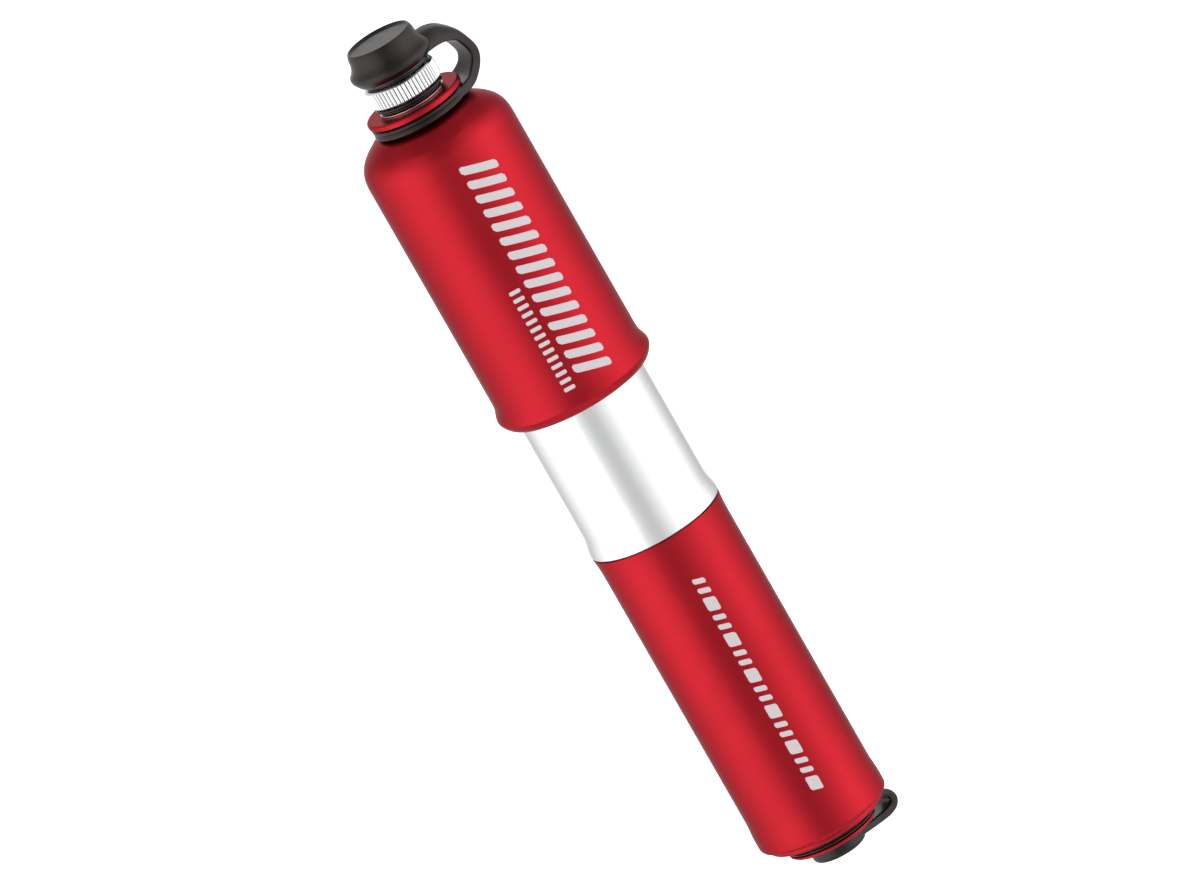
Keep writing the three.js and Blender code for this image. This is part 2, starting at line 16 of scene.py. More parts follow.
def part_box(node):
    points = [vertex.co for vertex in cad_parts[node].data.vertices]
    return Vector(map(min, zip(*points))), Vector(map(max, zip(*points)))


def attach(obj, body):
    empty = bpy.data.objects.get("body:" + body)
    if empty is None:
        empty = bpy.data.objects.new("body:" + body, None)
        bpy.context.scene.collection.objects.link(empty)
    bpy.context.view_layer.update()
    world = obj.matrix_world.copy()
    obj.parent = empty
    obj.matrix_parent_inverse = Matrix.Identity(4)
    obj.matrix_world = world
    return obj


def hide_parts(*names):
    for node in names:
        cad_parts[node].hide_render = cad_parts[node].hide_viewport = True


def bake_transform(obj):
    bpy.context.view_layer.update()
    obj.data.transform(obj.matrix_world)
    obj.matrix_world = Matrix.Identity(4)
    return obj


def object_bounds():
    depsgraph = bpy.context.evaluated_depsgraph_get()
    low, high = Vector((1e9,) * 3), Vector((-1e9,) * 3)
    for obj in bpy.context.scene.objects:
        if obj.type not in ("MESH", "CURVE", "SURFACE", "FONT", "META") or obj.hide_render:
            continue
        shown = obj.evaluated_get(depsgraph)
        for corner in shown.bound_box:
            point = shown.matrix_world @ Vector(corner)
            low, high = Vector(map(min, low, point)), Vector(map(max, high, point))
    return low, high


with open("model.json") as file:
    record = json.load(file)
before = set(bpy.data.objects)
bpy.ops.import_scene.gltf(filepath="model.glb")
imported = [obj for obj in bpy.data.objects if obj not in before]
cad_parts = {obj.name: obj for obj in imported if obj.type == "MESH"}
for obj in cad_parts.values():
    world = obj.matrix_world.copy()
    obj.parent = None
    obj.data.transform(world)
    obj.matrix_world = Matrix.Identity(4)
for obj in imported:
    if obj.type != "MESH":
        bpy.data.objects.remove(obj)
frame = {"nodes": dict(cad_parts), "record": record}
cad_low, cad_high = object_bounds()

MM = 0.001
RECORD = frame["record"]
SLOT_OF = {part["node"]: part["material_slot"] for part in RECORD["subparts"]}
BODY_OF = {node: body for body, nodes in RECORD["behaviour"]["bodies"].items() for node in nodes}


# ----------------------------------------------------------------------------------------------------------
# Materials
# ----------------------------------------------------------------------------------------------------------

NOISE_ROUGHNESS = 0.55
NOISE_SPAN = 0.3, 0.7  # most of a noise's values lie between these
COLOUR_SPAN = 0.35, 0.65  # where the darker and lighter shares of a colour are reached


class Shader:
    """A node material with a few short ways to add textures to its Principled shader."""

    def __init__(self, name, colour, metallic, roughness, specular=0.5, tint=(1, 1, 1)):
        self.material = bpy.data.materials.new(name)
        self.material.use_nodes = True
        self.nodes = self.material.node_tree.nodes
        self.links = self.material.node_tree.links
        self.principled = self.nodes["Principled BSDF"]
        self.principled.inputs["Base Color"].default_value = (*colour, 1.0)
        self.principled.inputs["Metallic"].default_value = metallic
        self.principled.inputs["Roughness"].default_value = roughness
        self.principled.inputs["Specular IOR Level"].default_value = specular
        self.principled.inputs["Specular Tint"].default_value = (*tint, 1.0)
        self.place = self.nodes.new("ShaderNodeTexCoord")
        self.colour = colour
        self.bumps = None

    def noise(self, scale, detail=3.0):
        """Noise on the piece's own coordinates; scale is features per metre along X, Y and Z."""
        mapping = self.nodes.new("ShaderNodeMapping")
        mapping.inputs["Scale"].default_value = scale
        texture = self.nodes.new("ShaderNodeTexNoise")
        texture.inputs["Scale"].default_value = 1.0
        texture.inputs["Detail"].default_value = detail
        texture.inputs["Roughness"].default_value = NOISE_ROUGHNESS
        self.links.new(self.place.outputs["Object"], mapping.inputs["Vector"])
        self.links.new(mapping.outputs["Vector"], texture.inputs["Vector"])
        return texture.outputs["Fac"]

    def spread(self, value, low, high):
        """A texture value stretched so that it runs from low to high."""
        span = self.nodes.new("ShaderNodeMapRange")
        span.inputs["From Min"].default_value, span.inputs["From Max"].default_value = NOISE_SPAN
        span.inputs["To Min"].default_value = low
        span.inputs["To Max"].default_value = high
        self.links.new(value, span.inputs["Value"])
        return span.outputs["Result"]

    def roughness_from(self, value, low, high):
        self.links.new(self.spread(value, low, high), self.principled.inputs["Roughness"])

    def colour_between(self, value, dark, light):
        """Base colour between two shares of the material's own colour."""
        ramp = self.nodes.new("ShaderNodeValToRGB")
        ends = ramp.color_ramp.elements
        ends[0].position, ends[1].position = COLOUR_SPAN
        ends[0].color = (*[min(1.0, c * dark) for c in self.colour], 1.0)
        ends[1].color = (*[min(1.0, c * light) for c in self.colour], 1.0)
        self.links.new(value, ramp.inputs["Fac"])
        self.links.new(ramp.outputs["Color"], self.principled.inputs["Base Color"])

    def bump(self, value, depth_mm):
        """Adds a bump of the given depth on top of the ones already there."""
        bump = self.nodes.new("ShaderNodeBump")
        bump.inputs["Strength"].default_value = 1.0
        bump.inputs["Distance"].default_value = depth_mm * MM
        self.links.new(value, bump.inputs["Height"])
        if self.bumps:
            self.links.new(self.bumps, bump.inputs["Normal"])
        self.bumps = bump.outputs["Normal"]
        self.links.new(self.bumps, self.principled.inputs["Normal"])


def red_anodised():
    """Satin red anodising on blasted aluminium, with faint turning lines around it."""
    shader = Shader("red_anodised", (0.44, 0.0165, 0.026), 1.0, 0.3, tint=(0.75, 0.62, 0.64))
    grain = shader.noise((5200, 5200, 5200), detail=2.0)
    turning = shader.noise((60, 60, 5000), detail=3.0)
    cloud = shader.noise((45, 45, 30), detail=2.0)
    shader.colour_between(cloud, 0.95, 1.05)
    shader.roughness_from(turning, 0.27, 0.33)
    shader.bump(turning, 0.0012)
    shader.bump(grain, 0.004)
    return shader.material


def polished_aluminium():
    """Polished tube with hairline marks from the sliding handle."""
    shader = Shader("polished_aluminium", (0.93, 0.935, 0.94), 1.0, 0.12)
    turning = shader.noise((40, 40, 6000), detail=2.0)
    hairlines = shader.noise((2600, 2600, 25), detail=3.0)
    shader.roughness_from(hairlines, 0.10, 0.17)
    shader.colour_between(turning, 0.98, 1.0)
    shader.bump(turning, 0.0006)
    return shader.material


def machined_aluminium():
    """Bare turned aluminium with visible tool lines."""
    shader = Shader("machined_aluminium", (0.72, 0.725, 0.73), 1.0, 0.3)
    turning = shader.noise((80, 80, 7000), detail=3.0)
    cloud = shader.noise((120, 120, 120), detail=2.0)
    shader.colour_between(cloud, 0.92, 1.04)
    shader.roughness_from(turning, 0.22, 0.38)
    shader.bump(turning, 0.004)
    return shader.material


def rubber(name, colour, low_rough, high_rough):
    """Moulded black rubber: a fine skin with soft unevenness."""
    shader = Shader(name, colour, 0.0, 0.5, specular=0.42, tint=(1.0, 0.88, 0.84))
    skin = shader.noise((9000, 9000, 9000), detail=2.0)
    wave = shader.noise((420, 420, 420), detail=3.0)
    shader.colour_between(wave, 0.8, 1.3)
    shader.roughness_from(wave, low_rough, high_rough)
    shader.bump(wave, 0.02)
    shader.bump(skin, 0.005)
    return shader.material


def hose_rubber():
    """Hose cover with the faint print of the braid below it."""
    shader = Shader("hose_rubber", (0.012, 0.012, 0.013), 0.0, 0.45, specular=0.4)
    braid = shader.noise((1500, 1500, 500), detail=2.0)
    shader.colour_between(braid, 0.75, 1.3)
    shader.roughness_from(braid, 0.38, 0.55)
    shader.bump(braid, 0.05)
    return shader.material


def white_nylon():
    """Moulded nylon, slightly uneven."""
    shader = Shader("white_nylon", (0.72, 0.70, 0.64), 0.0, 0.45)
    cloud = shader.noise((300, 300, 300), detail=3.0)
    shader.colour_between(cloud, 0.94, 1.05)
    shader.roughness_from(cloud, 0.38, 0.52)
    shader.bump(shader.noise((4000, 4000, 4000), detail=2.0), 0.004)
    return shader.material


def brass():
    """Turned brass."""
    shader = Shader("brass", (0.66, 0.43, 0.16), 1.0, 0.28)
    turning = shader.noise((80, 80, 7000), detail=3.0)
    shader.colour_between(turning, 0.92, 1.05)
    shader.roughness_from(turning, 0.22, 0.36)
    shader.bump(turning, 0.003)
    return shader.material


def spring_steel():
    """Drawn spring wire."""
    shader = Shader("spring_steel", (0.55, 0.56, 0.57), 1.0, 0.25)
    drawn = shader.noise((3000, 3000, 900), detail=2.0)
    shader.colour_between(drawn, 0.9, 1.05)
    shader.roughness_from(drawn, 0.2, 0.34)
    shader.bump(drawn, 0.002)
    return shader.material


def printed_white():
    """Screen-printed white ink, a little uneven."""
    shader = Shader("printed_white", (0.36, 0.325, 0.335), 0.0, 0.45)
    grain = shader.noise((3500, 3500, 3500), detail=3.0)
    shader.colour_between(grain, 0.94, 1.03)
    shader.roughness_from(grain, 0.35, 0.5)
    shader.bump(grain, 0.004)
    return shader.material


def knurl_root_shade():
    """Painted shade: a darker, rougher metal colour in the roots of the knurls, standing in for the shade
    that falls in them.
    """
    shader = Shader("knurl_root_shade", (0.4, 0.4, 0.41), 0.9, 0.4)
    cloud = shader.noise((900, 900, 900), detail=3.0)
    shader.colour_between(cloud, 0.7, 1.3)
    shader.roughness_from(cloud, 0.4, 0.6)
    shader.bump(cloud, 0.01)
    return shader.material


MATERIALS = {
    "red_anodised": red_anodised(),
    "polished_aluminium": polished_aluminium(),
    "machined_aluminium": machined_aluminium(),
    "black_rubber": rubber("black_rubber", (0.0026, 0.002, 0.0018), 0.17, 0.25),
    "soft_rubber": rubber("soft_rubber", (0.016, 0.015, 0.014), 0.5, 0.65),
    "hose_rubber": hose_rubber(),
    "white_nylon": white_nylon(),
    "brass": brass(),
    "spring_steel": spring_steel(),
}
INK = printed_white()
# Painted shade for the roots of the knurls.
KNURL_ROOT_SHADE = knurl_root_shade()


# ----------------------------------------------------------------------------------------------------------
# Outlines of the turned CAD nodes
# ----------------------------------------------------------------------------------------------------------

ON_PLANE = 1e-7  # metres; a vertex this near to Y = 0 lies on the half plane
LEVEL = 0.002  # an edge that rises less than this is level
ON_AXIS = 0.001
STRAIGHT = math.radians(0.5)  # a smaller turn isn't a corner
SAME_POINT = 1e-3


def outline_of(node):
    """(points, closed): the [r, z] outline that a turned CAD node sweeps about the Z axis, anticlockwise.

    Its sloping and upright stretches are the mesh's edges in the half plane Y = 0, X >= 0.
    Its level stretches join the ends left over at each height, outwards from the axis.
    """
    mesh = frame["nodes"][node].data
    place = {}
    for vertex in mesh.vertices:
        if abs(vertex.co.y) < ON_PLANE and vertex.co.x > -ON_PLANE:
            place[vertex.index] = (round(vertex.co.x / MM, 3), round(vertex.co.z / MM, 3))
    links = {}
    for edge in mesh.edges:
        a, b = (place.get(i) for i in edge.vertices)
        if a and b and abs(a[1] - b[1]) > LEVEL:
            links.setdefault(a, set()).add(b)
            links.setdefault(b, set()).add(a)
    loose = {}
    for point, found in links.items():
        if len(found) == 1 and point[0] > ON_AXIS:
            loose.setdefault(point[1], []).append(point)
    for height, points in loose.items():
        points.sort()
        if len(points) % 2:
            pole = (0.0, height)
            links.setdefault(pole, set()).add(points[0])
            links[points[0]].add(pole)
            points = points[1:]
        for a, b in zip(points[::2], points[1::2]):
            links[a].add(b)
            links[b].add(a)
    poles = sorted((p for p in links if p[0] < ON_AXIS), key=lambda p: p[1])
    start = poles[0] if poles else min(links)
    walk = [start]
    before = None
    while True:
        onward = [p for p in links[walk[-1]] if p != before]
        if not onward or onward[0] == start or len(walk) > len(links):
            break
        before = walk[-1]
        walk.append(onward[0])
        if walk[-1] in poles:
            break
    ring = walk + [walk[0]]
    area = sum(a[0] * b[1] - b[0] * a[1] for a, b in zip(ring, ring[1:]))
    if area < 0:
        walk.reverse()
    return [Vector(p) for p in walk], not poles


def softened(points, closed, edge, bend_limit, steps=5):
    """The outline with its corners rounded.

    A turn sharper than bend_limit is an edge and gets a small round of the given size. A gentler turn is
    part of a curve, so its round takes half of the stretches beside it.
    """
    made = []
    last = len(points) - 1
    for i, point in enumerate(points):
        if not closed and i in (0, last):
            made.append(point)
            continue
        back = points[i - 1] - point
        ahead = points[(i + 1) % len(points)] - point
        turn = math.pi - back.angle(ahead)
        if turn < STRAIGHT:
            made.append(point)
            continue
        room = 0.5 * min(back.length, ahead.length)
        cut = room if turn < bend_limit else min(edge, 0.9 * room)
        first = point + back.normalized() * cut
        final = point + ahead.normalized() * cut
        for step in range(steps + 1):
            t = step / steps
            made.append(first * (1 - t) ** 2 + point * (2 * t * (1 - t)) + final * t**2)
    kept = [made[0]]
    for point in made[1:]:
        if (point - kept[-1]).length > SAME_POINT:
            kept.append(point)
    if closed and (kept[0] - kept[-1]).length <= SAME_POINT:
        kept.pop()
    return kept


def supported(points, closed, longest, margin=0.12):
    """The outline with extra points near the ends of its long stretches, and along them."""
    made = []
    count = len(points) if closed else len(points) - 1
    for i in range(count):
        a, b = points[i], points[(i + 1) % len(points)]
        length = (b - a).length
        made.append(a)
        if length < 4 * margin:
            continue
        pieces = max(1, math.ceil((length - 2 * margin) / longest))
        inner = [margin + (length - 2 * margin) * k / pieces for k in range(pieces + 1)]
        made.extend(a.lerp(b, distance / length) for distance in inner)
    if not closed:
        made.append(points[-1])
    return made


def radius_at(node, height):
    """The outside radius of a turned node at a height, in millimetres."""
    return radius_on(outline_of(node)[0], height)


def radius_on(points, height):
    """The largest radius of an outline at a height."""
    found = []
    for a, b in zip(points, points[1:] + points[:1]):
        low, high = sorted((a.y, b.y))
        if low <= height <= high and high - low > 1e-6:
            found.append(a.x + (b.x - a.x) * (height - a.y) / (b.y - a.y))
    return max(found)


# ----------------------------------------------------------------------------------------------------------
# Mesh helpers
# ----------------------------------------------------------------------------------------------------------

def new_piece(name, bm, material, sharp_degrees=50):
    """An object from a bmesh, with smooth shading broken only at sharp edges."""
    bmesh.ops.remove_doubles(bm, verts=bm.verts, dist=1e-7)
    mesh = bpy.data.meshes.new(name)
    bm.to_mesh(mesh)
    bm.free()
    mesh.shade_smooth()
    mesh.set_sharp_from_angle(angle=math.radians(sharp_degrees))
    mesh.materials.append(material)
    piece = bpy.data.objects.new(name, mesh)
    bpy.context.scene.collection.objects.link(piece)
    return piece


def swept_round(points, closed, segments, displace=None):
    """A bmesh of the outline turned about the Z axis. displace(angle, r, z) gives a point's own radius."""
    bm = bmesh.new()
    rings = []
    for r, z in points:
        if r < 1e-4:
            rings.append([bm.verts.new((0, 0, z * MM))])
            continue
        ring = []
        for k in range(segments):
            angle = 2 * math.pi * k / segments
            radius = displace(angle, r, z) if displace else r
            x, y = radius * math.cos(angle), radius * math.sin(angle)
            ring.append(bm.verts.new((x * MM, y * MM, z * MM)))
        rings.append(ring)
    following = rings[1:] + rings[:1] if closed else rings[1:]
    for low, high in zip(rings, following):
        for k in range(segments):
            j = (k + 1) % segments
            if len(low) == 1:
                bm.faces.new((low[0], high[j], high[k]))
            elif len(high) == 1:
                bm.faces.new((low[k], low[j], high[0]))
            else:
                bm.faces.new((low[k], low[j], high[j], high[k]))
    return bm


def skin(bm, rings):
    """Faces from each ring of vertices to the next, and over the first and last ring."""
    for low, high in zip(rings, rings[1:]):
        for k in range(len(low)):
            j = (k + 1) % len(low)
            bm.faces.new((low[k], low[j], high[j], high[k]))
    bm.faces.new(list(reversed(rings[0])))
    bm.faces.new(rings[-1])
    bmesh.ops.recalc_face_normals(bm, faces=bm.faces)


def stand_in(piece, node):
    """The piece stands for a CAD node: it joins the node's body, and the node is hidden."""
    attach(piece, BODY_OF[node])
    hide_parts(node)


# ----------------------------------------------------------------------------------------------------------
# Knurling and threads
# ----------------------------------------------------------------------------------------------------------

KNURLS = 56
KNURL_DEPTH = 0.34
KNURL_SHARPNESS = 1.4
KNURL_MARGINS = 0.55, 0.7  # left bright below and above the roots that carry painted shade
THREAD_PITCH = 1.0
THREAD_DEPTH = 0.42
THREAD_LENGTH = 6.5
THREAD_STEPS = 10  # rings of points in one pitch
PORT_RADIUS = 5.0
PORT_DEPTH_PAST_THREAD = 2.0


def eased(value, low, high):
    """0 below low, 1 above high, smooth between."""
    t = min(1.0, max(0.0, (value - low) / (high - low)))
    return t * t * (3 - 2 * t)


def window(z, low, high, fade):
    """1 between two heights, fading to 0 over the given length inside each."""
    return eased(z, low, low + fade) * (1 - eased(z, high - fade, high))


def thread_groove(angle, z):
    """Depth of a right-handed thread's groove at a place on its cylinder."""
    turns = z / THREAD_PITCH - angle / (2 * math.pi)
    return THREAD_DEPTH * 0.5 * (1 - math.cos(2 * math.pi * turns))


def collar_surface(low, high, thread_top):
    """Straight knurls on the collar's grip and a thread on its stem."""
    grip_radius = radius_at("hose_collar", (thread_top + high) / 2)
    stem_radius = radius_at("hose_collar", thread_top - 1.0)

    def displace(angle, r, z):
        if abs(r - grip_radius) < 0.05:
            groove = 1 - abs(math.cos(KNURLS * angle / 2))
            return r - KNURL_DEPTH * groove**KNURL_SHARPNESS
        if abs(r - stem_radius) < 0.02 and z < thread_top:
            return r - thread_groove(angle, z) * window(z, low, thread_top, 0.5)
        return r

    return displace


def paint_root_shade(piece, low, high):
    """Gives the faces in the roots of the knurls, between two heights, the painted shade material."""
    piece.data.materials.append(KNURL_ROOT_SHADE)
    reach = math.pi / (4 * KNURLS)
    for face in piece.data.polygons:
        place = face.center
        if not low * MM < place.z < high * MM:
            continue
        phase = (math.atan2(place.y, place.x) * KNURLS / (2 * math.pi)) % 1.0
        if abs(phase - 0.5) * 2 * math.pi / KNURLS < reach and place.xy.length > 6.5 * MM:
            face.material_index = 1


def outside_thread(radius, low, high):
    def displace(angle, r, z):
        if abs(r - radius) < 0.02 and low <= z <= high:
            return r - thread_groove(angle, z) * window(z, low, high, 0.4)
        return r

    return displace


def inside_thread(radius, low, high):
    def displace(angle, r, z):
        if abs(r - radius) < 0.02 and low <= z <= high:
            return r + thread_groove(angle, z) * window(z, low, high, 0.4)
        return r

    return displace


# ----------------------------------------------------------------------------------------------------------
# Turned pieces
# ----------------------------------------------------------------------------------------------------------

METAL_EDGE, METAL_BEND = 0.12, math.radians(42)
RUBBER_EDGE, RUBBER_BEND = 0.3, math.radians(85)
LONGEST_STRETCH = 6.0

TURNED = {  # node: segments around
    "handle_shell": 192, "neck_fitting": 160, "barrel_tube": 192, "grip_sleeve": 192, "end_cap": 160,
    "top_cap": 160, "cap_ring": 160, "plug_ring": 160, "port_plug": 128, "hose_seal": 160,
    "hose_collar": 8 * KNURLS, "chuck_gasket": 96, "upper_ferrule": 96, "lower_ferrule": 96,
    "hose_tube": 96, "hose_end": 96, "rod_head": 128, "bump_washer": 128, "piston_rod": 128,
    "piston_head": 128, "piston_seal": 128, "wear_ring": 128, "rod_gland": 128, "rod_bushing": 128,
    "rod_wiper": 128, "end_cap_oring": 128, "port_gasket": 96, "valve_seat": 96, "valve_poppet": 96,
}
SOFT_SLOTS = ("black_rubber", "soft_rubber")


def node_span(node):
    low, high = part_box(node)
    return low.z / MM, high.z / MM


def refine(points, low, high, step):
    """Splits the upright stretches between two heights into short ones."""
    made = []
    for a, b in zip(points, points[1:] + points[:1]):
        made.append(a)
        upright = abs(a.x - b.x) < 1e-3
        if upright and low <= min(a.y, b.y) and max(a.y, b.y) <= high:
            pieces = max(1, math.ceil((b - a).length / step))
            made.extend(a.lerp(b, k / pieces) for k in range(1, pieces))
    return made


def surfaces():
    """node: (displace, low, high) for the nodes that carry knurls or threads, and where they lie."""
    collar_high = node_span("hose_collar")[1]
    grip_low = node_span("hose_seal")[1]
    stem_low = node_span("hose_tube")[1]
    end_low = node_span("hose_end")[0]
    thread_radius = radius_at("hose_end", end_low + 1.0)
    port_low = node_span("end_cap")[0]
    return {
        "hose_collar": (collar_surface(stem_low, collar_high, grip_low), stem_low, grip_low),
        "hose_end": (
            outside_thread(thread_radius, end_low + 0.2, end_low + THREAD_LENGTH),
            end_low,
            end_low + THREAD_LENGTH,
        ),
        "end_cap": (
            inside_thread(PORT_RADIUS, port_low + 0.3, port_low + THREAD_LENGTH),
            port_low,
            port_low + THREAD_LENGTH + PORT_DEPTH_PAST_THREAD,
        ),
    }


def build_turned():
    detailed = surfaces()
    for node, segments in TURNED.items():
        points, closed = outline_of(node)
        soft = SLOT_OF[node] in SOFT_SLOTS
        edge, bend = (RUBBER_EDGE, RUBBER_BEND) if soft else (METAL_EDGE, METAL_BEND)
        points = softened(points, closed, edge, bend)
        points = supported(points, closed, LONGEST_STRETCH)
        displace = None
        if node in detailed:
            displace, low, high = detailed[node]
            points = refine(points, low, high, THREAD_PITCH / THREAD_STEPS)
        bm = swept_round(points, closed, segments, displace)
        piece = new_piece(node + "_fine", bm, MATERIALS[SLOT_OF[node]])
        stand_in(piece, node)
        if node == "hose_collar":
            below, above = KNURL_MARGINS
            # The knurl roots get painted shade.
            paint_root_shade(piece, node_span("hose_seal")[1] + below, node_span("top_cap")[0] - above)


build_turned()
for node, obj in frame["nodes"].items():
    obj.data.materials.clear()
    obj.data.materials.append(MATERIALS[SLOT_OF[node]])


# ----------------------------------------------------------------------------------------------------------
# Rubber straps
# ----------------------------------------------------------------------------------------------------------

def spline(points, count):
    """Points evenly spread along a Catmull-Rom curve through the given ones."""
    ends = [points[0] * 2 - points[1], *points, points[-1] * 2 - points[-2]]
    fine = []
    for i in range(len(points) - 1):
        a, b, c, d = ends[i : i + 4]
        for k in range(24):
            t = k / 24
            fine.append(
                0.5 * (2 * b + (c - a) * t + (2 * a - 5 * b + 4 * c - d) * t**2
                       + (3 * b - a - 3 * c + d) * t**3)
            )
    fine.append(points[-1])
    lengths = [0.0]
    for a, b in zip(fine, fine[1:]):
        lengths.append(lengths[-1] + (b - a).length)
    made = []
    j = 0
    for k in range(count + 1):
        target = lengths[-1] * k / count
        while j < len(lengths) - 2 and lengths[j + 1] < target:
            j += 1
        share = (target - lengths[j]) / max(1e-9, lengths[j + 1] - lengths[j])
        made.append(fine[j].lerp(fine[j + 1], min(1.0, share)))
    return made


def strap_mesh(line, sizes, outer_side, section_points=56, squareness=8.0):
    """A bmesh of a strap whose centre line lies in the XZ plane.

    Each size is a width, an edge thickness, the height of the arch on the outer side, and a hug: how far the
    cross-section bends round the pump's axis, from 0 for straight to 1 for an arc about it. outer_side is 1
    where the outside of the loop is on the left of the line's direction, and -1 where it is on the right.
    """
    bm = bmesh.new()
    rings = []
    for i, (point, (width, thickness, arch, hug)) in enumerate(zip(line, sizes)):
        tangent = (line[min(i + 1, len(line) - 1)] - line[max(i - 1, 0)]).normalized()
        normal = Vector((-tangent.y, tangent.x)) * outer_side
        ring = []
        for k in range(section_points):
            angle = 2 * math.pi * k / section_points
            c, s = math.cos(angle), math.sin(angle)
            share = math.copysign(abs(c) ** (2 / squareness), c)
            up = math.copysign(abs(s) ** (2 / squareness), s) * thickness / 2
            if s > 0:
                up += arch * (1 - share**2)
            across = share * width / 2
            pulled_back = hug * (point.x - math.sqrt(max(0.0, point.x**2 - across**2)))
            place = point + normal * up
            ring.append(bm.verts.new(((place.x - pulled_back) * MM, across * MM, place.y * MM)))
        rings.append(ring)
    skin(bm, rings)
    return bm


def in_box(node, path):
    """Points given as shares of a node's X and Z extent, in millimetres."""
    low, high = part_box(node)
    size = high - low
    return [Vector(((low.x + size.x * x) / MM, (low.z + size.z * z) / MM)) for x, z in path]


def sizes_along(stations, count, passes=12):
    """The strap's sizes at evenly spread places, from stations that start with a share of its length."""
    sizes = []
    for i in range(count):
        t = i / (count - 1)
        near, far = next(pair for pair in zip(stations, stations[1:]) if t <= pair[1][0])
        share = (t - near[0]) / (far[0] - near[0])
        sizes.append([a + (b - a) * share for a, b in zip(near[1:], far[1:])])
    for _ in range(passes):
        inner = [
            [(a + 2 * b + c) / 4 for a, b, c in zip(*three)] for three in zip(sizes, sizes[1:], sizes[2:])
        ]
        sizes = [sizes[0], *inner, sizes[-1]]
    return sizes


STRAP_STEPS = 96
STRAP_SHARP = 70  # degrees
BEND_GAP = 6  # steps on each side of the strap's outermost point
CAP_ROOT_STEPS = 24  # steps next to the cap
# Centre lines, from the ring to the cap or plug, as shares of the node's X and Z extent.
CAP_STRAP_PATH = [
    (0.065, 0.088), (0.3, 0.079), (0.488, 0.115), (0.717, 0.217), (0.838, 0.334), (0.844, 0.441),
    (0.765, 0.572), (0.685, 0.657), (0.58, 0.716), (0.44, 0.762), (0.27, 0.804), (0.059, 0.84),
    (-0.123, 0.86), (-0.257, 0.868),
]
PLUG_STRAP_PATH = [
    (0.31, 0.864), (0.52, 0.873), (0.73, 0.84), (0.866, 0.71), (0.925, 0.528), (0.915, 0.374),
    (0.816, 0.222), (0.6, 0.147), (0.322, 0.147), (0.114, 0.183), (-0.058, 0.219), (-0.144, 0.219),
]
# Share of the length, then width, edge thickness, arch and hug there.
CAP_STRAP_SIZES = [
    (0.0, 15.6, 2.0, 0.0, 1.0), (0.05, 13.6, 2.0, 0.0, 0.95), (0.09, 10.8, 2.0, 0.0, 0.85),
    (0.17, 7.8, 1.98, 0.1, 0.5), (0.28, 6.2, 1.95, 0.25, 0.15), (0.44, 5.6, 1.9, 0.38, 0.0),
    (0.56, 5.6, 1.8, 0.5, 0.0), (0.66, 6.0, 1.65, 1.15, 0.2), (0.8, 7.2, 1.6, 2.1, 0.55),
    (0.88, 9.2, 1.5, 2.3, 0.8), (0.95, 11.4, 1.35, 2.3, 1.0), (1.0, 12.4, 1.3, 1.9, 1.0),
]
PLUG_STRAP_SIZES = [
    (0.0, 12.0, 1.15, 0.0, 1.0), (0.1, 8.4, 1.3, 0.0, 0.6), (0.21, 6.8, 1.4, 0.1, 0.2),
    (0.37, 6.2, 1.6, 0.15, 0.0), (0.5, 6.0, 1.7, 0.15, 0.0), (0.75, 6.4, 1.55, 0.1, 0.3),
    (0.86, 7.6, 1.5, 0.1, 0.7), (0.95, 8.6, 1.4, 0.05, 1.0), (1.0, 8.8, 1.3, 0.0, 1.0),
]


def build_cap_strap():
    """The cap's strap in two halves that meet at its outermost point: one from the ring, one to the cap."""
    line = spline(in_box("cap_strap", CAP_STRAP_PATH), STRAP_STEPS)
    sizes = sizes_along(CAP_STRAP_SIZES, len(line))
    middle = max(range(len(line)), key=lambda i: line[i].x)
    halves = (
        ("cap_strap_lower", slice(0, middle + 1), "cap_swivel_ring", "strap", 0, middle - BEND_GAP),
        (
            "cap_strap_upper", slice(middle, None), "strap", "cap",
            middle + BEND_GAP, len(line) - CAP_ROOT_STEPS,
        ),
    )
    for name, part, near, far, first, final in halves:
        bm = strap_mesh(line[part], sizes[part], outer_side=-1)
        piece = new_piece(name, bm, MATERIALS["black_rubber"], sharp_degrees=STRAP_SHARP)
        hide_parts("cap_strap")
        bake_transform(piece)


def build_plug_strap():
    """The plug's strap, folded in a tight U."""
    line = spline(in_box("plug_strap", PLUG_STRAP_PATH), STRAP_STEPS)
    bm = strap_mesh(line, sizes_along(PLUG_STRAP_SIZES, len(line)), outer_side=1)
    piece = new_piece("plug_strap_band", bm, MATERIALS["black_rubber"], sharp_degrees=STRAP_SHARP)
    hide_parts("plug_strap")
    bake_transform(piece)


build_cap_strap()
build_plug_strap()


def build_seal_washer(width=1.2, overhang=0.1, gap_below=0.06, gap_above=0.02, edge=0.05, segments=128):
    """A thin polished washer between the neck and the hose's rubber seal."""
    low = node_span("neck_fitting")[1] + gap_below
    high = node_span("hose_seal")[0] - gap_above
    outer = radius_at("hose_seal", high + 0.4) + overhang
    inner = outer - width
    corners = [Vector(p) for p in ((inner, low), (outer, low), (outer, high), (inner, high))]
    points = softened(corners, True, edge, METAL_BEND)
    bm = swept_round(points, True, segments)
    piece = new_piece("seal_washer", bm, MATERIALS["polished_aluminium"])
    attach(piece, "seal")


build_seal_washer()


